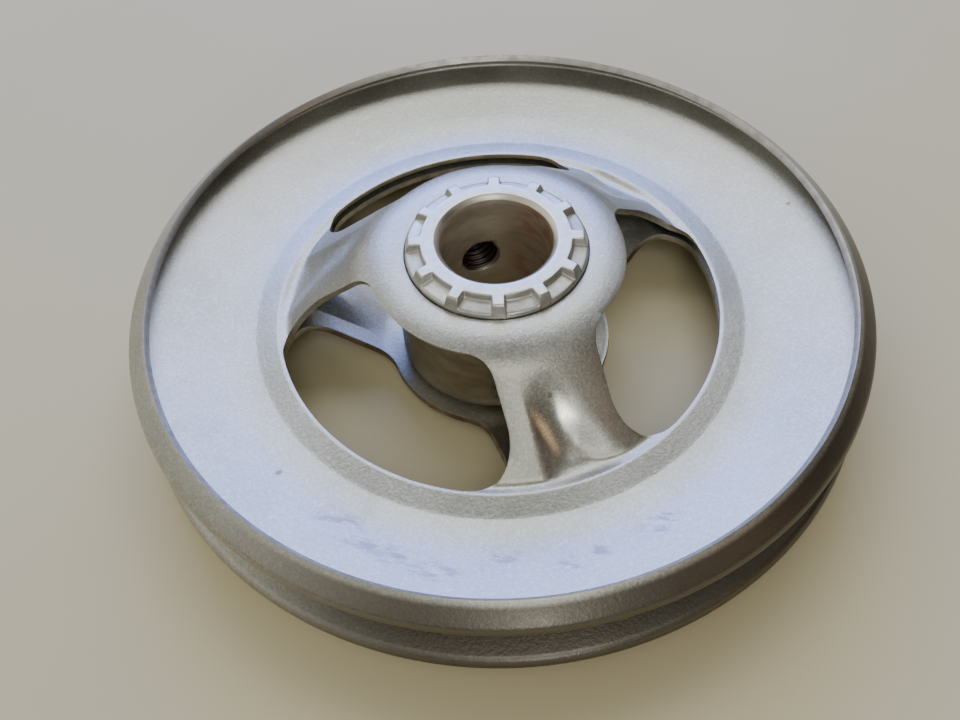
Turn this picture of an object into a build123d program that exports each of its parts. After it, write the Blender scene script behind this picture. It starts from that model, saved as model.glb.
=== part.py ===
from build123d import *
import os
from math import cos, hypot, radians, sin, tan

# Pressed-steel V-belt pulley, in millimetres and degrees.  Two stampings meet back to back
# on the groove's mid-plane, Z = 0, and are staked and welded to a turned hub.  +Z points to
# the front end of the hub, and the set screw lies along +Y.

# ---- driving dimensions: the whole pulley
OUTER_RADIUS = 63.5             # 5 inch outside diameter
SHEET = 1.2                     # thickness of both stampings
WINDOWS = 3                     # windows, and as many spokes between them
FIRST_SPOKE = -90.0             # direction of the first spoke
REAR_TURN = -1.4                # the rear stamping is welded on turned by this much

# ---- driving dimensions: groove and folded rim
GROOVE_HALF_ANGLE = 16.0
ROOT_RADIUS = 47.2              # where the two groove walls would meet
ROOT_BEND = 26.0                # the wall rises out of the ring in this large bend
FOLD_RADIUS = 1.7               # outside radius of the fold at the outside diameter
LIP_RADIUS = 36.5               # outside radius of the almost straight lip beyond the fold
LIP_FROM = 46.0                 # direction that the rim faces where the fold ends
LIP_TO = 52.0                   # and at the free edge of the lip

# ---- driving dimensions: ring and windows
RING_CONTACT = 42.9             # inner edge of the ring on which the stampings touch
CREST = (39.1, 1.3)             # radius and mid-sheet height of the low crest
FOOT = (37.2, 0.85)             # radius and mid-sheet height of the spokes' feet
WINDOW_OUTER = 38.8
SPOKE_WIDTH = 16.9
WINDOW_OUTER_FILLET = 6.6
WINDOW_INNER_FILLET = 5.8
CHANNEL_WIDTH = 10.4            # pressed channel down the middle of each spoke
CHANNEL_FLOOR = 1.35            # height of the channel's lowest outside face
CHANNEL_FILLET = 1.4

# ---- driving dimensions: hub
BORE_RADIUS = 9.525             # 3/4 inch bore
BORE_CHAMFER = 0.8
BARREL_RADIUS = 17.5
BARREL_CHAMFER = 1.2            # clears the bends of the hub plates
SPIGOT_RADIUS = 15.5            # turned-down ends that pass through the stampings
HUB_FRONT = 18.3
HUB_REAR = -10.3
RIBS = 12                       # staked ribs on each end of the hub
RIB_WIDTH = 2.2
RIB_PHASE = 12.2
POCKET_INNER = 12.7
POCKET_DEPTH = 1.2              # depth of a pocket at its inner wall
POCKET_FALL = 0.7               # how much deeper it is at the rim of the spigot

# ---- driving dimensions: set screw, 1/4 inch with 20 threads to the inch
SCREW_RADIUS = 3.175
SCREW_CLEARANCE = 0.055
SCREW_LENGTH = 6.35
SCREW_HEIGHT = 4.2              # height of the screw's axis, mid-way along the hub
SCREW_TIP = 13.0                # distance of its tip from the bore's axis, backed out
THREAD_PITCH = 1.27
THREAD_DEPTH = 0.55
SOCKET_FLATS = 3.175
SOCKET_DEPTH = 3.0
CUP_RADIUS = 1.6

# ---- worked out from the above
FLANK = radians(GROOVE_HALF_ANGLE)
HALF_SHEET = SHEET / 2
FOLD_CENTRE_R = OUTER_RADIUS - FOLD_RADIUS
FOLD_CENTRE_Z = (FOLD_CENTRE_R - ROOT_RADIUS) * tan(FLANK) + FOLD_RADIUS / cos(FLANK)
FOLD_MID = FOLD_RADIUS - HALF_SHEET
FOLD_START = (FOLD_CENTRE_R + FOLD_MID * sin(FLANK), FOLD_CENTRE_Z - FOLD_MID * cos(FLANK))
LIP_CENTRE_R = FOLD_CENTRE_R + (FOLD_RADIUS - LIP_RADIUS) * cos(radians(LIP_FROM))
LIP_CENTRE_Z = FOLD_CENTRE_Z + (FOLD_RADIUS - LIP_RADIUS) * sin(radians(LIP_FROM))
# the flank's mid-sheet line crosses the contact ring's mid-sheet height here
FLANK_START = (ROOT_RADIUS + (HALF_SHEET - HALF_SHEET / cos(FLANK)) / tan(FLANK), HALF_SHEET)


class Dish:
    """One stamping's hub plate and spokes, as heights above the groove's mid-plane."""

    def __init__(self, plate_face, shoulder, bend, foot, inner, channel_start):
        self.plate_face = plate_face          # height of the hub plate's outside face
        self.shoulder = shoulder              # radius where plate and spoke lines cross
        self.bend = bend                      # mid-sheet radius of the bend between them
        self.foot = foot                      # radius and height of the spoke's foot
        self.inner = inner                    # inner radius of the windows
        self.channel_start = channel_start    # where the channel leaves the spoke's face

    def corners(self):
        """Mid-sheet corners from the hub hole to the start of the groove wall."""
        plate = self.plate_face - HALF_SHEET
        return [
            (SPIGOT_RADIUS - 1, plate),
            (self.shoulder, plate),
            self.foot,
            CREST,
            (RING_CONTACT, HALF_SHEET),
            FLANK_START,
            FOLD_START,
        ]

    def radii(self):
        return [self.bend, 2.0, 0.7, 2.0, ROOT_BEND]


FRONT_DISH = Dish(15.6, 20.9, 12.6, FOOT, 21.4, (24.4, 12.6))
REAR_DISH = Dish(7.8, 20.6, 8.0, (34.9, FOOT[1]), 19.9, (22.5, 7.3))


def sheet_of_revolution(dish):
    """The round stamping before its windows and channels are pressed."""
    with BuildPart() as blank:
        with BuildSketch(Plane.XZ):
            with BuildLine():
                FilletPolyline(*dish.corners(), radius=dish.radii())
                fold_centre = (FOLD_CENTRE_R, FOLD_CENTRE_Z)
                lip_centre = (LIP_CENTRE_R, LIP_CENTRE_Z)
                CenterArc(fold_centre, FOLD_MID, GROOVE_HALF_ANGLE - 90, 90 - GROOVE_HALF_ANGLE)
                CenterArc(fold_centre, FOLD_MID, 0, LIP_FROM)
                CenterArc(lip_centre, LIP_RADIUS - HALF_SHEET, LIP_FROM, LIP_TO - LIP_FROM)
                offset(amount=HALF_SHEET, side=Side.BOTH)
            make_face()
        revolve(axis=Axis.Z)
    return blank.part


def below_mid_sheet(dish):
    """Solid under the mid-sheet surface, which trims what the channels add."""
    corners = dish.corners()[:5]
    with BuildPart() as core:
        with BuildSketch(Plane.XZ):
            with BuildLine():
                top = FilletPolyline(*corners, radius=dish.radii()[:3])
                Polyline(top @ 1, (RING_CONTACT, 0.05), (corners[0][0], 0.05), top @ 0)
            make_face()
        revolve(axis=Axis.Z)
    return core.part


def channel_block(dish, grow):
    """Space of one spoke's channel along +X, enlarged on all sides by grow."""
    start, foot = dish.channel_start, dish.foot
    lid = dish.plate_face + 10
    with BuildPart() as block:
        with BuildSketch(Plane.XZ) as side:
            with BuildLine():
                Polyline(
                    start,
                    (foot[0] - 2.0, CHANNEL_FLOOR),
                    (CREST[0], CREST[1] + HALF_SHEET),
                    (CREST[0], lid),
                    (start[0], lid),
                    close=True,
                )
            make_face()
            if grow:
                offset(amount=grow, kind=Kind.INTERSECTION)
        extrude(amount=CHANNEL_WIDTH / 2 + grow, both=True)
        sides = block.edges().filter_by(Plane.XZ)
        fillet([edge for edge in sides if edge.center().Z < dish.plate_face - 1], CHANNEL_FILLET + grow)
    return block.part


def window_faces(dish):
    """Plan of the windows, with the spokes left between them."""
    with BuildSketch() as plan:
        Circle(WINDOW_OUTER)
        Circle(dish.inner, mode=Mode.SUBTRACT)
        with PolarLocations(0, WINDOWS, FIRST_SPOKE):
            Rectangle(OUTER_RADIUS, SPOKE_WIDTH, align=(Align.MIN, Align.CENTER), mode=Mode.SUBTRACT)
        middle = (WINDOW_OUTER + dish.inner) / 2
        fillet([v for v in plan.vertices() if hypot(v.X, v.Y) > middle], WINDOW_OUTER_FILLET)
        fillet([v for v in plan.vertices() if hypot(v.X, v.Y) < dish.inner + 0.1], WINDOW_INNER_FILLET)
    return plan.sketch


def stamping(dish):
    """One whole stamping, its groove wall above Z = 0."""
    blank = sheet_of_revolution(dish)
    core = below_mid_sheet(dish)
    outside = channel_block(dish, SHEET)
    inside = channel_block(dish, 0)
    windows = window_faces(dish)
    with BuildPart() as pressed:
        with PolarLocations(0, WINDOWS, FIRST_SPOKE):
            add(outside)
        add(core, mode=Mode.INTERSECT)
        add(blank)
        with PolarLocations(0, WINDOWS, FIRST_SPOKE):
            add(inside, mode=Mode.SUBTRACT)
        extrude(windows, amount=dish.plate_face + 5, mode=Mode.SUBTRACT)
        with Locations((0, 0, dish.plate_face)):
            Hole(SPIGOT_RADIUS)
    return pressed.part


def hub_end_pockets(end, plate, direction):
    """Space between the staked ribs of one end of the hub."""
    floor_inner = end - direction * POCKET_DEPTH
    floor_outer = end - direction * (POCKET_DEPTH + POCKET_FALL)
    beyond = end + direction
    with BuildPart() as pockets:
        with BuildSketch(Plane.XZ):
            with BuildLine():
                Polyline(
                    (POCKET_INNER, beyond),
                    (POCKET_INNER, floor_inner),
                    (SPIGOT_RADIUS + 1, floor_outer - direction * POCKET_FALL / 2.8),
                    (SPIGOT_RADIUS + 1, beyond),
                    close=True,
                )
            make_face()
        revolve(axis=Axis.Z)
        with BuildSketch(Plane.XY.offset(min(end, plate) - 2)):
            with PolarLocations(0, RIBS, RIB_PHASE):
                Rectangle(2 * SPIGOT_RADIUS, RIB_WIDTH, align=(Align.MIN, Align.CENTER))
        extrude(amount=abs(end - plate) + 4, mode=Mode.SUBTRACT)
    return pockets.part


def circles(part, radius):
    """Circular edges of one radius."""
    round_edges = part.edges().filter_by(GeomType.CIRCLE)
    return [edge for edge in round_edges if abs(edge.radius - radius) < 0.01]


def thread_ridge(radius, length):
    """V-shaped ridge of the set screw's thread, wound along +Z on a cylinder."""
    helix = Helix(pitch=THREAD_PITCH, height=length, radius=radius)
    half_foot = 0.36 * THREAD_PITCH
    half_crest = 0.06 * THREAD_PITCH
    sunk = THREAD_DEPTH / 3
    with BuildPart() as ridge:
        with BuildSketch(Plane(origin=helix @ 0, x_dir=(1, 0, 0), z_dir=helix % 0)):
            with BuildLine():
                Polyline(
                    (-sunk, -half_foot),
                    (THREAD_DEPTH, -half_crest),
                    (THREAD_DEPTH, half_crest),
                    (-sunk, half_foot),
                    close=True,
                )
            make_face()
        sweep(path=helix, is_frenet=True)
    return ridge.part


def make_hub():
    """Turned hub: a barrel with a spigot, a bore and staked ribs at each end."""
    plate_front = FRONT_DISH.plate_face
    plate_rear = -REAR_DISH.plate_face
    hole_radius = SCREW_RADIUS + SCREW_CLEARANCE
    screw_plane = Plane(origin=(0, 0, SCREW_HEIGHT), z_dir=(0, 1, 0))
    thread_start = Plane(origin=(0, BORE_RADIUS - 2, SCREW_HEIGHT), z_dir=(0, 1, 0))
    thread = thread_ridge(hole_radius, BARREL_RADIUS - BORE_RADIUS + 3)
    front_pockets = hub_end_pockets(HUB_FRONT, plate_front, 1)
    rear_pockets = hub_end_pockets(HUB_REAR, plate_rear, -1)
    with BuildPart() as hub:
        with BuildSketch(Plane.XY.offset(HUB_REAR)):
            Circle(SPIGOT_RADIUS)
        extrude(amount=HUB_FRONT - HUB_REAR)
        with BuildSketch(Plane.XY.offset(plate_rear + SHEET)):
            Circle(BARREL_RADIUS)
        extrude(amount=plate_front - plate_rear - 2 * SHEET)
        chamfer(circles(hub, BARREL_RADIUS), BARREL_CHAMFER)
        with Locations((0, 0, HUB_FRONT)):
            Hole(BORE_RADIUS)
        chamfer(circles(hub, BORE_RADIUS), BORE_CHAMFER)
        add(front_pockets, mode=Mode.SUBTRACT)
        add(rear_pockets, mode=Mode.SUBTRACT)
        with BuildSketch(screw_plane):
            Circle(hole_radius)
        extrude(amount=BARREL_RADIUS + 1, mode=Mode.SUBTRACT)
        with Locations(thread_start):
            add(thread, mode=Mode.SUBTRACT)
    return hub.part


def screw_blank():
    """Set screw along +Z before its thread is cut, its tip at Z = 0."""
    with BuildPart() as blank:
        with BuildSketch():
            Circle(SCREW_RADIUS)
        extrude(amount=SCREW_LENGTH)
        ends = blank.edges().filter_by(GeomType.CIRCLE).sort_by(Axis.Z)
        chamfer(ends[0], THREAD_DEPTH + 0.4)
        chamfer(ends[-1], THREAD_DEPTH)
    return blank.part


def make_set_screw():
    """Cup-point set screw along +Z, its tip at Z = 0 and its hexagon socket at the top."""
    blank = screw_blank()
    core_radius = SCREW_RADIUS - THREAD_DEPTH
    run_out = THREAD_PITCH
    thread = thread_ridge(core_radius, SCREW_LENGTH + 2 * run_out)
    with BuildPart() as screw:
        with BuildSketch(Plane.XY.offset(-run_out)):
            Circle(core_radius)
        extrude(amount=SCREW_LENGTH + 2 * run_out)
        with Locations((0, 0, -run_out)):
            add(thread)
        add(blank, mode=Mode.INTERSECT)
        with BuildSketch(Plane.XY.offset(SCREW_LENGTH)):
            RegularPolygon(SOCKET_FLATS / 2, 6, major_radius=False)
        extrude(amount=-SOCKET_DEPTH, mode=Mode.SUBTRACT)
        Cone(CUP_RADIUS, 0.2, 0.9, align=(Align.CENTER, Align.CENTER, Align.MIN), mode=Mode.SUBTRACT)
    return screw.part


def write(part, label):
    part.label = label
    export_step(part, f"parts/{label}.step")


os.makedirs("parts", exist_ok=True)

front_stamping = stamping(FRONT_DISH)
rear_stamping = stamping(REAR_DISH).mirror(Plane.XY).rotate(Axis.Z, REAR_TURN)
hub = make_hub()
screw_seat = Plane(origin=(0, SCREW_TIP, SCREW_HEIGHT), z_dir=(0, 1, 0))
set_screw = make_set_screw().moved(screw_seat.location)

write(front_stamping, "front_stamping")
write(rear_stamping, "rear_stamping")
write(hub, "hub")
write(set_screw, "set_screw")
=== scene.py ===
import math

import bpy
import numpy as np
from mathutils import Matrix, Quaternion, Vector


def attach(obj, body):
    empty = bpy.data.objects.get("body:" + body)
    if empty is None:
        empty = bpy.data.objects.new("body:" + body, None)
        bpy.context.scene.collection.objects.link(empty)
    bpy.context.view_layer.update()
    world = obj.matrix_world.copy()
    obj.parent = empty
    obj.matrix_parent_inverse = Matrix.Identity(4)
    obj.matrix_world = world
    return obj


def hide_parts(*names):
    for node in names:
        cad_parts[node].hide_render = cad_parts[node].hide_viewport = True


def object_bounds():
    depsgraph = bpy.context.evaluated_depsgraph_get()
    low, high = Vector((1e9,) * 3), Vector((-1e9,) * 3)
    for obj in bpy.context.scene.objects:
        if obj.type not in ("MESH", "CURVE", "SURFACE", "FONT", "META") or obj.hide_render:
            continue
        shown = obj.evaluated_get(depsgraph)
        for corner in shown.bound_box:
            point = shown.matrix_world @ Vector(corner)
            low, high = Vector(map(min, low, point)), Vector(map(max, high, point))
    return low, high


# Pressed-steel V-belt pulley: two stampings, a turned hub and a set screw.  Shapes are
# worked out in millimetres in the part's own frame and turned into metres as meshes are made.

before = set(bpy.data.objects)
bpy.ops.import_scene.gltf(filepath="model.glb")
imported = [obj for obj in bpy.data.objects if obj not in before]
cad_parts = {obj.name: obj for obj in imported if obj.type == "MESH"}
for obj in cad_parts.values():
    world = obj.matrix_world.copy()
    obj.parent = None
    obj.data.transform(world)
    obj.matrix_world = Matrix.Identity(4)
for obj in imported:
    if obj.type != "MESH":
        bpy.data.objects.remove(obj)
cad_low, cad_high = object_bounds()
MM = 0.001

# ---- camera: where it stands and what it looks at, in millimetres -------------------------
EYE = Vector((-36.81, -114.64, 142.78))
AIM = Vector((-6.84, -9.70, 0.0))
ROLL = math.radians(-3.70)
LENS = 39.2
SENSOR = 36.0

camera_data = bpy.data.cameras.new("camera")
camera_data.lens = LENS
camera_data.sensor_width = SENSOR
camera_data.clip_start = 0.005
camera = bpy.data.objects.new("camera", camera_data)
bpy.context.scene.collection.objects.link(camera)
camera.location = EYE * MM
camera.rotation_mode = "QUATERNION"
camera.rotation_quaternion = (AIM - EYE).to_track_quat("-Z", "Y") @ Quaternion((0, 0, 1), ROLL)
bpy.context.scene.camera = camera

# ---- dimensions, the same as the CAD model's, in millimetres ------------------------------
OUTER_RADIUS = 63.5
SHEET = 1.2
HALF_SHEET = SHEET / 2
SPOKES = (-90.0, 30.0, 150.0)
CHANNEL_SHARES = (1.0, 0.75, 0.5)   # how deep each spoke's channel is pressed
REAR_TURN = -1.4

FLANK = math.radians(16.0)
ROOT_RADIUS = 47.2
ROOT_BEND = 26.0
FOLD_RADIUS = 1.7
LIP_RADIUS = 36.5
LIP_FROM, LIP_TO = 46.0, 52.0

RING_CONTACT = 42.9
CREST = (39.1, 1.3)
WINDOW_OUTER = 38.8
SPOKE_HALF = 8.45
OUTER_FILLET = 6.6
INNER_FILLET = 5.8
SHEARED_ROUND = 0.2             # rounding of the sheet's sheared edges
EDGE_ROLL = 0.2                 # how far the long edges of a spoke are rolled off
ROLL_FROM = 4.9                 # distance from a spoke's centre line where that starts

# a channel's crisp side, and at three distances from the axis where its soft side starts and ends
CRISP_REACH = 5.2
CRISP_POWER = 1.9
SOFT_STATIONS = (24.0, 30.0, 36.0)
SOFT_FOOT = (-3.2, -1.5, 3.4)
SOFT_TOP = (2.6, 4.8, 9.4)

BORE_RADIUS = 9.525
BARREL_RADIUS = 17.5
SPIGOT_RADIUS = 15.5
HUB_GAP = 0.05                  # open seam between a hub plate and the spigot
HUB_FRONT, HUB_REAR = 18.3, -10.3
PLATE_FRONT, PLATE_REAR = 15.6, -7.8
RIBS = 12
RIB_PHASE = 12.2
RIB_FOOT = 1.35                 # half-width of a rib with the fillets at its foot
POCKET_INNER = 12.7
POCKET_WIDTH = 2.8
POCKET_DEPTH, POCKET_FALL = 1.2, 0.7

SCREW_HEIGHT = 4.2
THREAD_CREST = 3.23
THREAD_DEPTH = 0.55
THREAD_PITCH = 1.27

# ---- mesh resolution ----------------------------------------------------------------------
SPOKE_COLUMNS = 72              # across one spoke
WINDOW_COLUMNS = 40             # along one window
POCKET_COLUMNS = 5              # along the floor of one pocket of the hub
CHANNEL_STEPS = 120             # along a channel, where its depth is smoothed over
CHANNEL_BLUR = 11               # this many steps
THREAD_COLUMNS = 48             # round the tapped hole
THREAD_ROWS = 12                # along one thread of it


# ---- small helpers ------------------------------------------------------------------------
def mesh_object(name, points, faces):
    """A smooth-shaded object from points in millimetres and faces as lists of point numbers."""
    mesh = bpy.data.meshes.new(name)
    mesh.from_pydata([tuple(float(v) * MM for v in point) for point in points], [], faces)
    mesh.validate()
    mesh.update()
    for polygon in mesh.polygons:
        polygon.use_smooth = True
    piece = bpy.data.objects.new(name, mesh)
    bpy.context.scene.collection.objects.link(piece)
    return piece


def smooth_step(value, low, high):
    """0 below low, 1 above high and an S-curve between them."""
    t = np.clip((value - low) / (high - low), 0.0, 1.0)
    return t * t * (3 - 2 * t)


def filleted(corners, radii, degrees):
    """Points along a polyline whose inner corners are rounded, one for each few degrees of turn."""
    corners = [np.array(corner, float) for corner in corners]
    points = [corners[0]]
    for before, corner, after, radius in zip(corners, corners[1:], corners[2:], radii):
        back = (before - corner) / np.linalg.norm(before - corner)
        onward = (after - corner) / np.linalg.norm(after - corner)
        half = math.acos(float(np.clip(back @ onward, -1, 1))) / 2
        start, end = (corner + way * radius / math.tan(half) for way in (back, onward))
        centre = corner + (back + onward) / np.linalg.norm(back + onward) * radius / math.sin(half)
        turn = math.pi - 2 * half
        steps = max(2, math.ceil(math.degrees(turn) / degrees))
        first, last = start - centre, end - centre
        for step in range(steps + 1):
            share = step / steps
            weights = np.array([math.sin((1 - share) * turn), math.sin(share * turn)]) / math.sin(turn)
            points.append(centre + weights[0] * first + weights[1] * last)
    points.append(corners[-1])
    return np.array(points)


def arc(centre, radius, start, end, steps):
    """Points on a circle between two directions in degrees."""
    angles = np.radians(np.linspace(start, end, steps + 1))
    return np.stack([centre[0] + radius * np.cos(angles), centre[1] + radius * np.sin(angles)], -1)


# ---- the stampings ------------------------------------------------------------------------
class Dish:
    """Mid-sheet heights of one stamping's hub plate, spokes and rim above the mid-plane."""

    def __init__(self, plate_face, shoulder, bend, foot, inner, channel):
        plate = plate_face - HALF_SHEET
        fold_r = OUTER_RADIUS - FOLD_RADIUS
        fold_z = (fold_r - ROOT_RADIUS) * math.tan(FLANK) + FOLD_RADIUS / math.cos(FLANK)
        fold_mid = FOLD_RADIUS - HALF_SHEET
        flank_start = ROOT_RADIUS + (HALF_SHEET - HALF_SHEET / math.cos(FLANK)) / math.tan(FLANK)
        fold_start = (fold_r + fold_mid * math.sin(FLANK), fold_z - fold_mid * math.cos(FLANK))
        turn = math.radians(LIP_FROM)
        lip_centre = (
            fold_r + (FOLD_RADIUS - LIP_RADIUS) * math.cos(turn),
            fold_z + (FOLD_RADIUS - LIP_RADIUS) * math.sin(turn),
        )
        corners = [
            (SPIGOT_RADIUS - 1, plate),
            (shoulder, plate),
            foot,
            CREST,
            (RING_CONTACT, HALF_SHEET),
            (flank_start, HALF_SHEET),
            fold_start,
        ]
        self.line = filleted(corners, [bend, 2.0, 0.7, 2.0, ROOT_BEND], degrees=2.0)
        self.inner = inner
        # radii of the mesh's rows, close together where the sheet bends
        ring = (WINDOW_OUTER, 38.95, 39.1, 39.25, 39.4, 39.8, 41.0, 42.2, 42.8, 43.0, 43.25, 43.5)
        wall = (43.8, 44.4, 45.2, 46.0, 46.8, 47.6, 48.4, 49.2, 50.0, 50.8, 53.0, 56.0, 59.0)
        rim = [(r, self.height(r)) for r in ring + wall]
        fold = arc((fold_r, fold_z), fold_mid, math.degrees(FLANK) - 90, LIP_FROM, 16)
        lip = arc(lip_centre, LIP_RADIUS - HALF_SHEET, LIP_FROM, LIP_TO, 6)[1:]
        self.rim = np.concatenate([np.array(rim), fold, lip])
        self.channel_r = np.linspace(channel[0][0], channel[-1][0], CHANNEL_STEPS)
        cornered = np.interp(self.channel_r, *zip(*channel))
        blur = np.hanning(CHANNEL_BLUR) / np.hanning(CHANNEL_BLUR).sum()
        padded = np.pad(cornered, CHANNEL_BLUR // 2, mode="edge")
        self.channel_depth = np.convolve(padded, blur, mode="valid")

    def height(self, r):
        """Height of the plain dish, without its channels, at a radius inside the fold."""
        return np.interp(r, self.line[:, 0], self.line[:, 1])

    def channel(self, r, along, across):
        """How far the spoke's face lies below the plain dish: its channel and rolled-off edges."""
        depth = np.interp(along, self.channel_r, self.channel_depth, left=0.0, right=0.0)
        crisp = np.clip(1 - (np.clip(-across, 0, None) / CRISP_REACH) ** CRISP_POWER, 0, 1)
        foot = np.interp(along, SOFT_STATIONS, SOFT_FOOT)
        top = np.interp(along, SOFT_STATIONS, SOFT_TOP)
        soft = 1 - smooth_step(across, foot, top)
        edge = np.clip((abs(across) - ROLL_FROM) / (SPOKE_HALF - ROLL_FROM), 0, 1.2) ** 2
        rolled = EDGE_ROLL * edge * smooth_step(r, 22.0, 26.0) * (1 - smooth_step(r, 33.0, 37.0))
        return depth * crisp * soft + rolled


def spoke_outline(inner):
    """Radius and half-angle of the spoke's edge, from the window's inner to its outer arc."""
    near_y, far_y = SPOKE_HALF + INNER_FILLET, SPOKE_HALF + OUTER_FILLET
    near_x = math.sqrt((inner + INNER_FILLET) ** 2 - near_y**2)
    far_x = math.sqrt((WINDOW_OUTER - OUTER_FILLET) ** 2 - far_y**2)
    toward_hub = math.degrees(math.atan2(-near_y, -near_x))
    toward_rim = math.degrees(math.atan2(far_y, far_x))
    places = [
        *arc((near_x, near_y), INNER_FILLET, toward_hub, -90, 9),
        *((x, SPOKE_HALF) for x in np.linspace(near_x, far_x, 20)[1:-1]),
        *arc((far_x, far_y), OUTER_FILLET, -90, toward_rim, 14),
    ]
    return [(math.hypot(x, y), math.atan2(y, x)) for x, y in places]


def stamping(name, dish, side, turn):
    """One stamping as a closed sheet; side is 1 for the front one and -1 for the rear one."""
    outline = spoke_outline(dish.inner)
    points, faces, rows = [], [], []

    def add_row(r, half, height, full):
        """Points at one radius; half is the half-angle that the spoke's columns take up."""
        row = []
        for direction, share_of_depth in zip(SPOKES, CHANNEL_SHARES):
            share = np.linspace(-1, 1, SPOKE_COLUMNS + 1)
            angles = list(share * half)
            if full:
                gap = 2 * math.pi / len(SPOKES) - 2 * half
                angles += [half + gap * k / WINDOW_COLUMNS for k in range(1, WINDOW_COLUMNS)]
            numbers = []
            for angle in angles:
                across = r * math.sin(angle)
                along = r * math.cos(angle)
                z = height
                if abs(angle) <= half + 1e-9 and r < CREST[0]:
                    z -= share_of_depth * dish.channel(r, along, side * across)
                place = math.radians(direction + turn) + angle
                numbers.append(len(points))
                points.append((r * math.cos(place), r * math.sin(place), side * z))
            row.append(numbers)
        return row

    plate_half = outline[0][1]
    for r in np.linspace(SPIGOT_RADIUS + HUB_GAP, outline[0][0], 8)[:-1]:
        rows.append((add_row(r, plate_half, dish.height(r), True), True))
    for count, (r, half) in enumerate(outline):
        whole = count in (0, len(outline) - 1)
        rows.append((add_row(r, half, dish.height(r), whole), whole))
    rim_half = outline[-1][1]
    for r, z in dish.rim[1:]:
        rows.append((add_row(r, rim_half, z, True), True))
    for (inside, inside_full), (outside, outside_full) in zip(rows, rows[1:]):
        full = inside_full and outside_full
        for k in range(len(SPOKES)):
            a, b = inside[k][: SPOKE_COLUMNS + 1], outside[k][: SPOKE_COLUMNS + 1]
            if full:
                following = (k + 1) % len(SPOKES)
                a, b = inside[k] + [inside[following][0]], outside[k] + [outside[following][0]]
            for j in range(len(a) - 1):
                face = (a[j], b[j], b[j + 1], a[j + 1])
                faces.append(face if side > 0 else face[::-1])
    piece = mesh_object(name, points, faces)
    thicken = piece.modifiers.new("sheet", "SOLIDIFY")
    thicken.thickness = SHEET * MM
    thicken.offset = 0.0
    thicken.use_even_offset = True
    thicken.material_offset_rim = 1
    rounding = piece.modifiers.new("sheared edges", "BEVEL")
    rounding.width = SHEARED_ROUND * MM
    rounding.segments = 2
    rounding.limit_method = "ANGLE"
    rounding.angle_limit = math.radians(50)
    return piece


# depth of each dish's channels along its spokes, as distance from the axis and depth
FRONT_CHANNEL = (
    (23.8, 0.0), (24.7, 0.12), (25.6, 0.38), (26.5, 0.72), (28.0, 1.2), (30.0, 1.7),
    (32.0, 2.05), (33.0, 2.2), (34.0, 2.2), (35.0, 1.91), (35.6, 1.54), (36.2, 1.08),
    (36.8, 0.65), (37.2, 0.50), (37.8, 0.36), (38.2, 0.25), (38.6, 0.10), (39.1, 0.0),
)
REAR_CHANNEL = (
    (21.5, 0.0), (23.0, 0.35), (25.0, 1.0), (27.0, 1.7), (29.0, 2.0),
    (31.0, 1.7), (33.0, 1.0), (34.6, 0.5), (36.0, 0.15), (39.1, 0.0),
)
FRONT = Dish(PLATE_FRONT, 20.9, 12.6, (37.2, 0.85), 21.4, FRONT_CHANNEL)
REAR = Dish(-PLATE_REAR, 20.6, 8.0, (34.9, 0.85), 19.9, REAR_CHANNEL)
front_pressing = stamping("front_pressing", FRONT, 1, 0.0)
rear_pressing = stamping("rear_pressing", REAR, -1, REAR_TURN)


# ---- the hub ------------------------------------------------------------------------------
def rib_columns():
    """Columns round the hub: number of a rib, offset from its middle or None, share of the pocket's
    depth, and for a column on a pocket's floor how far it is to the next rib."""
    edge = [
        (0.0, 0.0), (0.45, 0.0), (0.8, 0.0), (0.95, 0.03),
        (1.05, 0.2), (1.12, 0.8), (1.2, 0.97), (RIB_FOOT, 1.0),
    ]
    columns = []
    for rib in range(RIBS):
        for offset, pocket in reversed(edge[1:]):
            columns.append((rib, -offset, pocket, None))
        for offset, pocket in edge:
            columns.append((rib, offset, pocket, None))
        for k in range(1, POCKET_COLUMNS + 1):
            columns.append((rib, None, 1.0, k / (POCKET_COLUMNS + 1)))
    return columns


def column_angle(column, r):
    """Direction of a column at a radius: rib sides are parallel, so their columns aren't radial."""
    rib, offset, _, share = column
    step = 360.0 / RIBS
    if offset is not None:
        return math.radians(RIB_PHASE + rib * step) + math.asin(offset / r)
    clear = math.asin(RIB_FOOT / r)
    return math.radians(RIB_PHASE + rib * step) + clear + share * (math.radians(step) - 2 * clear)


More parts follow.
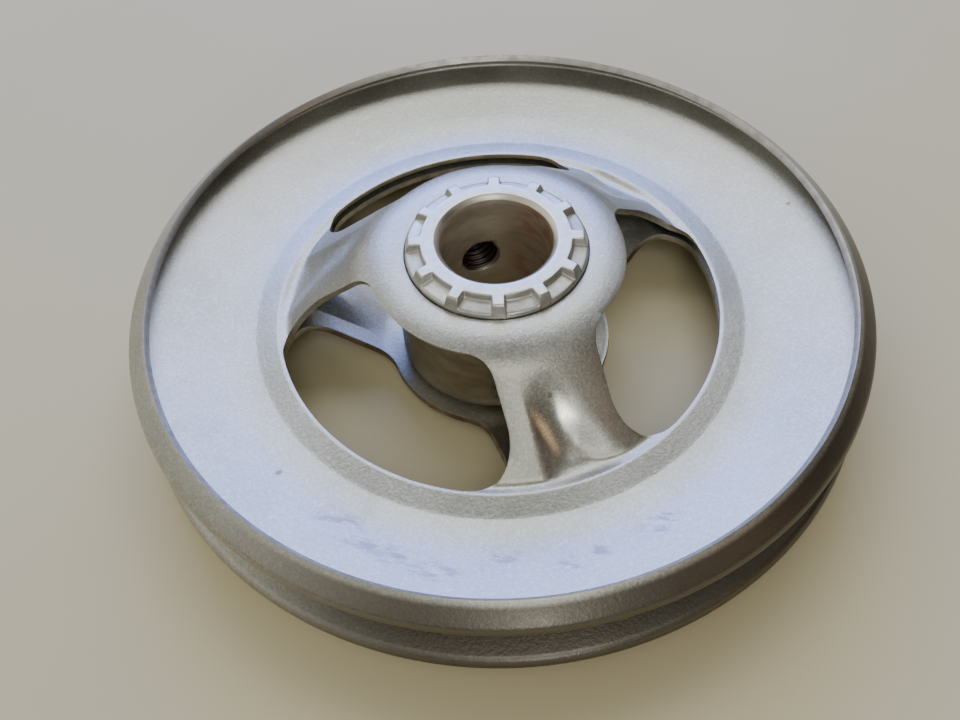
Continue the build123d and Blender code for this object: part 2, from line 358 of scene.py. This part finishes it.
def make_hub():
    """The hub's whole skin, as rows of points that run round it and close from the bore's wall
    over the front end, down the barrel and over the rear end."""
    columns = rib_columns()
    points, rows = [], []

    def ring(r, place):
        """Adds a row; place gives a column's radius and Z from its share of the pocket and r."""
        row = []
        for column in columns:
            angle = column_angle(column, r)
            radius, z = place(column[2], r)
            row.append(len(points))
            points.append((radius * math.cos(angle), radius * math.sin(angle), z))
        rows.append(row)

    def end(face, plate, way):
        """Rows of one end, from the bore outwards and down to the plate; way is 1 or -1 in Z."""
        def dome(r):
            return face - way * (0.10 * smooth_step(r, 13.0, 15.3))

        def floor(r):
            return face - way * (POCKET_DEPTH + POCKET_FALL * (r - POCKET_INNER) / POCKET_WIDTH)

        made = []
        # the bore's chamfered mouth
        for r, down in ((BORE_RADIUS, 0.8), (BORE_RADIUS + 0.06, 0.7), (10.26, 0.06), (10.4, 0.0)):
            made.append((r, lambda pocket, r, down=down: (r, face - way * down)))
        # the end face, with pockets between its ribs
        for r, share in (
            (11.2, 0.0), (12.1, 0.0), (12.45, 0.0), (12.6, 0.05), (12.68, 0.25), (12.74, 0.75),
            (12.82, 0.96), (13.0, 1.0), (13.6, 1.0), (14.2, 1.0), (14.7, 1.0), (14.95, 1.0),
        ):
            def pocketed(pocket, r, share=share):
                on_rib = np.interp(r, [10.0, 13.0, 15.1], [10.0, 13.0, 14.5])
                return on_rib + (r - on_rib) * pocket, dome(r) + (floor(r) - dome(r)) * share * pocket
            made.append((r, pocketed))

        def edge_height(pocket, r, drop):
            return dome(r) + (floor(r) - dome(r)) * pocket - way * drop

        # the rounded ends of the ribs and the spigot's wall below them
        made.append((15.1, lambda pocket, r: (14.6 + 0.62 * pocket, edge_height(pocket, r, 0.10))))
        made.append((15.15, lambda pocket, r: (14.72 + 0.58 * pocket, edge_height(pocket, r, 0.32))))
        for share in (0.25, 0.5, 0.75, 1.0):
            def side(pocket, r, share=share):
                top = edge_height(pocket, 15.2, 0.4)
                foot = plate - way * 0.05
                radius = 14.78 + 0.58 * share + 0.54 * pocket * (1 - share)
                return radius, top + (foot - top) * share
            made.append((15.3, side))
        made.append((15.36, lambda pocket, r: (r, plate - way * SHEET)))
        return made

    barrel_front, barrel_rear = PLATE_FRONT - SHEET, PLATE_REAR + SHEET
    shoulder = [(BARREL_RADIUS - 1.2, 0.0), (BARREL_RADIUS - 0.2, 1.05), (BARREL_RADIUS, 1.4)]
    barrel = [(r, barrel_front - down) for r, down in shoulder]
    barrel += [(BARREL_RADIUS, z) for z in np.linspace(barrel_front - 3, barrel_rear + 3, 7)]
    barrel += [(r, barrel_rear + up) for r, up in reversed(shoulder)]
    for r, place in end(HUB_FRONT, PLATE_FRONT, 1):
        ring(r, place)
    for r, z in barrel:
        ring(r, lambda pocket, r, z=z: (r, z))
    for r, place in reversed(end(HUB_REAR, PLATE_REAR, -1)):
        ring(r, place)
    for z in np.linspace(HUB_REAR + 2, HUB_FRONT - 2, 13):
        ring(BORE_RADIUS, lambda pocket, r, z=z: (r, z))
    faces = []
    for above, below in zip(rows, rows[1:] + rows[:1]):
        for j in range(len(columns)):
            k = (j + 1) % len(columns)
            faces.append((above[j], below[j], below[k], above[k]))
    return mesh_object("turned_hub", points, faces)


def thread_cutter():
    """Closed solid of the tapped hole along +Y, its wall wound with the thread's groove."""
    around = THREAD_COLUMNS
    start, stop = BORE_RADIUS - 2.0, BARREL_RADIUS + 1.5
    rows = int((stop - start) / THREAD_PITCH * THREAD_ROWS)
    points, faces = [], []
    for i in range(rows + 1):
        y = start + (stop - start) * i / rows
        for j in range(around):
            phase = (y / THREAD_PITCH - j / around) % 1.0
            groove = np.interp(phase, [0, 0.14, 0.44, 0.56, 0.86, 1], [0, 0, 1, 1, 0, 0])
            # the hole is countersunk a little at the bore and more at the barrel
            mouth = np.interp(y, [9.7, 10.4, 16.8, 17.4], [3.5, 3.1, 3.1, 3.75])
            r = max(THREAD_CREST + THREAD_DEPTH * groove, mouth)
            angle = 2 * math.pi * j / around
            points.append((r * math.cos(angle), y, SCREW_HEIGHT - r * math.sin(angle)))
    for i in range(rows):
        for j in range(around):
            k = (j + 1) % around
            faces.append((i * around + j, i * around + k, (i + 1) * around + k, (i + 1) * around + j))
    faces.append(tuple(range(around))[::-1])
    faces.append(tuple(rows * around + j for j in range(around)))
    return mesh_object("thread cutter", points, faces)


def apply_modifiers(piece):
    """Bakes a piece's modifiers into its mesh."""
    evaluated = piece.evaluated_get(bpy.context.evaluated_depsgraph_get())
    old = piece.data
    piece.data = bpy.data.meshes.new_from_object(evaluated)
    piece.modifiers.clear()
    bpy.data.meshes.remove(old)


turned_hub = make_hub()
cutter = thread_cutter()
tapping = turned_hub.modifiers.new("tapped hole", "BOOLEAN")
tapping.operation = "DIFFERENCE"
tapping.solver = "EXACT"
tapping.object = cutter
apply_modifiers(turned_hub)
bpy.data.objects.remove(cutter)


# ---- materials ----------------------------------------------------------------------------
class Shader:
    """A procedural material, with short calls for its nodes."""

    def __init__(self, name, roughness, metallic=1.0):
        self.material = bpy.data.materials.new(name)
        self.material.use_nodes = True
        self.nodes = self.material.node_tree.nodes
        self.links = self.material.node_tree.links
        self.surface = self.nodes["Principled BSDF"]
        self.surface.inputs["Metallic"].default_value = metallic
        self.surface.inputs["Roughness"].default_value = roughness
        self.place = self.nodes.new("ShaderNodeTexCoord").outputs["Object"]

    def join(self, value, socket):
        """Sets a socket to a number or a colour, or links another node's output to it."""
        if isinstance(value, (int, float)):
            socket.default_value = value
        elif isinstance(value, tuple):
            socket.default_value = (*value, 1.0)
        else:
            self.links.new(value, socket)

    def noise(self, scale, detail=3.0, rough=0.55, stretch=None, distortion=0.0):
        """Noise from 0 to 1; stretch is how long its spots are along three axes and their turn."""
        node = self.nodes.new("ShaderNodeTexNoise")
        node.inputs["Scale"].default_value = scale
        node.inputs["Detail"].default_value = detail
        node.inputs["Roughness"].default_value = rough
        node.inputs["Distortion"].default_value = distortion
        where = self.place
        if stretch:
            mapping = self.nodes.new("ShaderNodeMapping")
            mapping.vector_type = "TEXTURE"
            mapping.inputs["Scale"].default_value = stretch[0]
            mapping.inputs["Rotation"].default_value = stretch[1]
            self.links.new(self.place, mapping.inputs["Vector"])
            where = mapping.outputs["Vector"]
        self.links.new(where, node.inputs["Vector"])
        return node.outputs["Fac"]

    def math(self, operation, a, b=0.0):
        node = self.nodes.new("ShaderNodeMath")
        node.operation = operation
        for value, socket in zip((a, b), node.inputs):
            self.join(value, socket)
        return node.outputs[0]

    def add(self, a, b):
        return self.math("ADD", a, b)

    def times(self, a, b):
        return self.math("MULTIPLY", a, b)

    def most(self, a, b):
        return self.math("MAXIMUM", a, b)

    def length(self, a, b):
        return self.math("SQRT", self.add(self.times(a, a), self.times(b, b)))

    def ramp(self, value, low, high, start=0.0, end=1.0):
        """value spread from low..high to start..end, smoothly and clamped."""
        node = self.nodes.new("ShaderNodeMapRange")
        node.interpolation_type = "SMOOTHSTEP"
        for key, number in (("From Min", low), ("From Max", high), ("To Min", start), ("To Max", end)):
            node.inputs[key].default_value = number
        self.join(value, node.inputs["Value"])
        return node.outputs["Result"]

    def above(self, place, low, high):
        """0 where a place in the part is below low and 1 where it is above high, in millimetres."""
        return self.ramp(place, low * MM, high * MM)

    def below(self, place, low, high):
        """1 where a place in the part is below low and 0 where it is above high, in millimetres."""
        return self.ramp(place, low * MM, high * MM, 1.0, 0.0)

    def mix(self, share, first, second):
        """The first colour where share is 0 and the second where it is 1."""
        node = self.nodes.new("ShaderNodeMix")
        node.data_type = "RGBA"
        self.join(share, node.inputs["Factor"])
        self.join(first, node.inputs["A"])
        self.join(second, node.inputs["B"])
        return node.outputs["Result"]

    def split(self):
        node = self.nodes.new("ShaderNodeSeparateXYZ")
        self.links.new(self.place, node.inputs["Vector"])
        return node.outputs["X"], node.outputs["Y"], node.outputs["Z"]

    def radius(self):
        x, y, _ = self.split()
        return self.length(x, y)

    def patch(self, centre, angle, length, width):
        """1 at a spot on the XY plane and 0 outside an ellipse round it, in mm and degrees."""
        mapping = self.nodes.new("ShaderNodeMapping")
        mapping.vector_type = "TEXTURE"
        mapping.inputs["Location"].default_value = (centre[0] * MM, centre[1] * MM, 0.0)
        mapping.inputs["Rotation"].default_value = (0.0, 0.0, math.radians(angle))
        mapping.inputs["Scale"].default_value = (length * MM, width * MM, 1.0)
        self.links.new(self.place, mapping.inputs["Vector"])
        reach = self.nodes.new("ShaderNodeVectorMath")
        reach.operation = "LENGTH"
        self.links.new(mapping.outputs["Vector"], reach.inputs[0])
        return self.ramp(reach.outputs["Value"], 0.45, 1.0, 1.0, 0.0)

    def bump(self, height, distance, strength):
        """Bumps as high as a distance in millimetres."""
        node = self.nodes.new("ShaderNodeBump")
        node.inputs["Distance"].default_value = distance * MM
        node.inputs["Strength"].default_value = strength
        self.join(height, node.inputs["Height"])
        self.links.new(node.outputs["Normal"], self.surface.inputs["Normal"])

    def finish(self, colour, roughness=None):
        self.join(colour, self.surface.inputs["Base Color"])
        if roughness is not None:
            self.join(roughness, self.surface.inputs["Roughness"])
        return self.material


def blasted_sheet():
    """Satin blasted sheet steel: speckled grain, cloudy tone, rubbed streaks and small marks."""
    s = Shader("blasted_sheet_steel", 0.42)
    x, y, z = s.split()
    r = s.radius()
    front = s.above(z, 0.0, 0.5)
    grain = s.noise(2600, 2, 0.7)
    speck = s.noise(1500, 1, 0.5)
    cloud = s.noise(48, 5, 0.65)
    stain = s.ramp(s.noise(80, 6, 0.7, distortion=0.5), 0.55, 0.72)
    base = s.mix(s.ramp(cloud, 0.3, 0.7), (0.47, 0.47, 0.42), (0.59, 0.59, 0.54))
    base = s.mix(s.times(stain, 0.35), base, (0.36, 0.34, 0.29))
    base = s.mix(s.times(s.ramp(grain, 0.40, 0.60, 1.0, 0.0), 0.32), base, (0.25, 0.245, 0.225))
    base = s.mix(s.times(s.ramp(speck, 0.56, 0.70), 0.24), base, (0.78, 0.78, 0.76))

    # rubbed streaks on the groove's wall, near the spoke that points to -Y
    streak = s.noise(620, 5, 0.72, stretch=((3.2, 1.0, 1.0), (0.0, 0.0, -0.55)))
    rubbed = s.patch((-31.5, -41.0), -40, 11.0, 2.6)
    for spot, angle, length, width in (
        ((-37.5, -33.5), -48, 6.0, 3.6),
        ((-26.5, -46.5), -25, 5.5, 2.0),
        ((-15.5, -47.0), -10, 3.0, 2.0),
        ((-4.5, -51.5), 5, 7.0, 2.0),
        ((8.0, -50.0), 10, 5.0, 2.4),
    ):
        rubbed = s.most(rubbed, s.patch(spot, angle, length, width))
    rubbed = s.times(s.times(rubbed, s.ramp(streak, 0.46, 0.60)), front)
    base = s.mix(s.times(rubbed, 0.62), base, (0.20, 0.20, 0.21))

    # painted dark brown on the side that points to -Y: a painted reflection of the shaded floor on the
    # rim, and painted shade inside the groove
    toward = s.add(s.times(x, 0.30), s.times(y, -0.95))
    facing = s.ramp(s.math("DIVIDE", toward, s.most(r, MM)), 0.0, 0.75)
    behind = s.times(s.below(z, -0.4, 0.0), s.above(r, ROOT_RADIUS - 0.2, 50.0))
    outer = s.most(behind, s.above(r, 60.4, 61.2))
    painted_dark_reflection = s.times(s.times(outer, facing), s.ramp(cloud, 0.1, 0.6, 0.75, 0.92))
    base = s.mix(painted_dark_reflection, base, (0.125, 0.108, 0.088))

    # three dark marks
    mark = s.most(s.patch((57.6, 1.6), 0, 0.6, 0.5), s.patch((-44.3, -21.0), 20, 0.9, 0.55))
    mark = s.most(mark, s.patch((-0.9, -27.2), 0, 0.5, 0.4))
    base = s.mix(s.times(mark, s.times(front, 0.6)), base, (0.12, 0.07, 0.05))

    # burnished spots on the spokes, smoother than the rest
    burnished = s.patch((-1.0, -29.3), 0, 4.6, 6.2)
    for spot in ((26.2, 13.5), (-25.0, 15.5)):
        burnished = s.most(burnished, s.patch(spot, 0, 4.5, 4.5))
    burnished = s.times(burnished, front)
    rough = s.ramp(s.add(s.times(grain, 0.5), s.times(cloud, 0.5)), 0.3, 0.7, 0.34, 0.45)
    rough = s.math("SUBTRACT", rough, s.times(burnished, 0.14))
    grit = s.add(s.add(grain, speck), s.times(s.noise(700, 2), 0.3))
    s.bump(s.times(grit, s.ramp(burnished, 0.0, 0.7, 1.0, 0.1)), 0.05, 0.55)
    return s.finish(base, rough)


def sheared_edge():
    """Sheared and lightly rusted edge of the sheet."""
    s = Shader("sheared_sheet_edge", 0.5)
    tone = s.noise(420, 5, 0.6)
    _, _, z = s.split()
    rust = s.below(z, -4.0, 0.0)
    plain = s.mix(s.ramp(tone, 0.35, 0.7), (0.62, 0.60, 0.57), (0.46, 0.44, 0.40))
    painted_bore_reflection = s.mix(s.ramp(tone, 0.35, 0.7), (0.32, 0.25, 0.20), (0.20, 0.13, 0.095))
    s.bump(s.noise(2200, 3), 0.05, 0.5)
    return s.finish(s.mix(rust, plain, painted_bore_reflection), s.ramp(tone, 0.3, 0.7, 0.36, 0.5))


def hub_steel():
    """Turned hub steel: bright end faces, brown turned bore and barrel."""
    s = Shader("hub_steel", 0.4)
    x, y, z = s.split()
    r = s.radius()
    tone = s.noise(160, 5, 0.6, stretch=((1.0, 1.0, 0.4), (0.0, 0.0, 0.0)))
    bore_tone = s.mix(s.ramp(tone, 0.3, 0.7), (0.50, 0.45, 0.34), (0.66, 0.61, 0.50))
    # painted reflection: the bore's wall on the +X side, which faces -X, is tinted red-brown in patches
    painted_bore_reflection = s.times(s.above(x, 2.0, 8.5), s.ramp(tone, 0.35, 0.6))
    bore_tone = s.mix(painted_bore_reflection, bore_tone, (0.42, 0.25, 0.16))
    barrel_tone = s.mix(s.ramp(tone, 0.3, 0.7), (0.21, 0.18, 0.135), (0.35, 0.31, 0.24))
    bright = s.mix(s.ramp(s.noise(700, 4), 0.3, 0.7), (0.56, 0.565, 0.54), (0.66, 0.66, 0.63))
    bright = s.mix(s.times(s.below(r, 10.3, 10.6), 0.7), bright, (0.80, 0.76, 0.64))

    # which part of the hub a point is on
    off_axis = s.length(x, s.add(z, -SCREW_HEIGHT * MM))
    tapped = s.times(s.below(off_axis, 3.9, 4.1), s.above(y, BORE_RADIUS + 0.075, BORE_RADIUS + 0.575))
    in_bore = s.below(r, BORE_RADIUS + 0.035, BORE_RADIUS + 0.095)
    below_front = s.below(z, PLATE_FRONT - SHEET, PLATE_FRONT - SHEET + 0.2)
    above_rear = s.above(z, PLATE_REAR + SHEET - 0.2, PLATE_REAR + SHEET)
    on_barrel = s.times(s.times(below_front, above_rear), s.above(r, 16.0, 16.3))

    wavy = s.add(z, s.times(s.noise(60, 2), 0.4 * MM))
    turning = s.times(s.math("SINE", s.times(wavy, 9.0 / MM)), 0.25)
    s.bump(s.add(s.times(turning, s.most(in_bore, on_barrel)), s.noise(1600, 3)), 0.05, 0.5)
    base = s.mix(on_barrel, s.mix(in_bore, bright, bore_tone), barrel_tone)
    # painted shade: the wall of the tapped hole is darkened to near black
    base = s.mix(tapped, base, (0.10, 0.08, 0.065))
    s.join(s.math("SUBTRACT", 1.0, s.times(in_bore, 0.4)), s.surface.inputs["Metallic"])
    return s.finish(base, s.ramp(tone, 0.3, 0.7, 0.30, 0.44))


def screw_steel():
    """Black-oxide set screw."""
    s = Shader("black_oxide_screw", 0.42)
    tone = s.noise(900, 4)
    base = s.mix(s.ramp(tone, 0.35, 0.7), (0.035, 0.035, 0.038), (0.10, 0.09, 0.085))
    s.bump(s.noise(2500, 2), 0.04, 0.5)
    return s.finish(base, s.ramp(tone, 0.3, 0.7, 0.34, 0.5))


def floor_paint():
    """Plain pale floor."""
    s = Shader("floor_paint", 0.6, metallic=0.0)
    tone = s.noise(6, 3)
    return s.finish(s.mix(s.ramp(tone, 0.3, 0.7), (0.68, 0.60, 0.38), (0.73, 0.65, 0.42)), 0.6)


sheet_material = blasted_sheet()
edge_material = sheared_edge()
for pressing in (front_pressing, rear_pressing):
    pressing.data.materials.append(sheet_material)
    pressing.data.materials.append(edge_material)
turned_hub.data.materials.append(hub_steel())
set_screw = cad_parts["set_screw"]
screw_material = screw_steel()
if set_screw.material_slots:
    for holder in set_screw.material_slots:
        holder.material = screw_material
else:
    set_screw.data.materials.append(screw_material)

# ---- what each piece rides on and stands for ----------------------------------------------
for piece, node, finish_slot in (
    (front_pressing, "front_stamping", "sheet_steel"),
    (rear_pressing, "rear_stamping", "sheet_steel"),
    (turned_hub, "hub", "hub_steel"),
):
    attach(piece, "pulley")
    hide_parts(node)

# ---- floor and light ----------------------------------------------------------------------
FLOOR_REACH = 1500
floor_height = cad_low[2] / MM
floor = mesh_object(
    "floor",
    [(x * FLOOR_REACH, y * FLOOR_REACH, floor_height) for x, y in ((-1, -1), (1, -1), (1, 1), (-1, 1))],
    [(0, 1, 2, 3)],
)
floor.data.materials.append(floor_paint())


def area_light(name, place, width, height, power, colour):
    """Soft panel at a place in metres that faces the pulley."""
    data = bpy.data.lights.new(name, "AREA")
    data.shape = "RECTANGLE"
    data.size, data.size_y = width, height
    data.energy = power
    data.color = colour
    light = bpy.data.objects.new(name, data)
    bpy.context.scene.collection.objects.link(light)
    light.location = place
    light.rotation_mode = "QUATERNION"
    light.rotation_quaternion = (-Vector(place)).to_track_quat("-Z", "Y")


for name, place, width, height, power, colour in (
    ("window panel", (0.15, 0.66, 0.42), 0.75, 0.34, 5.2, (0.27, 0.39, 1.0)),
    ("north ceiling panel", (0.13, 0.40, 0.79), 0.8, 0.30, 2.2, (0.94, 0.97, 1.0)),
    ("south ceiling panel", (-0.10, -0.58, 0.83), 0.50, 0.26, 1.3, (1.0, 0.99, 0.93)),
    ("low south lamp", (-0.18, -0.85, 0.39), 0.085, 0.07, 0.80, (1.0, 1.0, 0.97)),
    ("warm lamp", (0.57, -0.67, 0.36), 0.16, 0.10, 0.15, (1.0, 0.66, 0.40)),
):
    area_light(name, place, width, height, power, colour)


ROOM_TURN = math.radians(18.0)
ROOM_BASE = (0.045, 0.037, 0.029)
# what the room adds to its dim base: a colour, and between which limits of the direction it grows
ROOM_GLOWS = (
    ((0.22, 0.22, 0.19), (("Z", 0.50, 0.90),)),
    ((0.78, 0.76, 0.69), (("X", -0.25, -0.90), ("Z", -0.10, 0.30))),
    ((0.52, 0.53, 0.52), (("Y", 0.10, 0.70), ("Z", 0.05, 0.35))),
    ((0.26, 0.25, 0.22), (("Y", -0.35, -0.85), ("Z", 0.0, 0.25))),
)


def make_room():
    """World light: dim, with a pale ceiling, a bright west wall and paler north and south ones."""
    world = bpy.data.worlds.new("room")
    bpy.context.scene.world = world
    world.use_nodes = True
    nodes, links = world.node_tree.nodes, world.node_tree.links
    turned = nodes.new("ShaderNodeMapping")
    turned.inputs["Rotation"].default_value = (0.0, 0.0, ROOM_TURN)
    links.new(nodes.new("ShaderNodeTexCoord").outputs["Generated"], turned.inputs["Vector"])
    way = nodes.new("ShaderNodeSeparateXYZ")
    links.new(turned.outputs["Vector"], way.inputs["Vector"])

    def grown(axis, low, high):
        """0 to 1 between two limits of the direction along an axis."""
        spread = nodes.new("ShaderNodeMapRange")
        spread.interpolation_type = "SMOOTHSTEP"
        spread.inputs["From Min"].default_value = low
        spread.inputs["From Max"].default_value = high
        links.new(way.outputs[axis], spread.inputs["Value"])
        return spread.outputs["Result"]

    total = None
    for colour, limits in ROOM_GLOWS:
        share = grown(*limits[0])
        for limit in limits[1:]:
            both = nodes.new("ShaderNodeMath")
            both.operation = "MULTIPLY"
            links.new(share, both.inputs[0])
            links.new(grown(*limit), both.inputs[1])
            share = both.outputs[0]
        glow = nodes.new("ShaderNodeVectorMath")
        glow.operation = "MULTIPLY_ADD"
        glow.inputs[0].default_value = colour
        links.new(share, glow.inputs[1])
        if total is None:
            glow.inputs[2].default_value = ROOM_BASE
        else:
            links.new(total, glow.inputs[2])
        total = glow.outputs["Vector"]
    links.new(total, nodes["Background"].inputs["Color"])
    nodes["Background"].inputs["Strength"].default_value = 1.0


make_room()
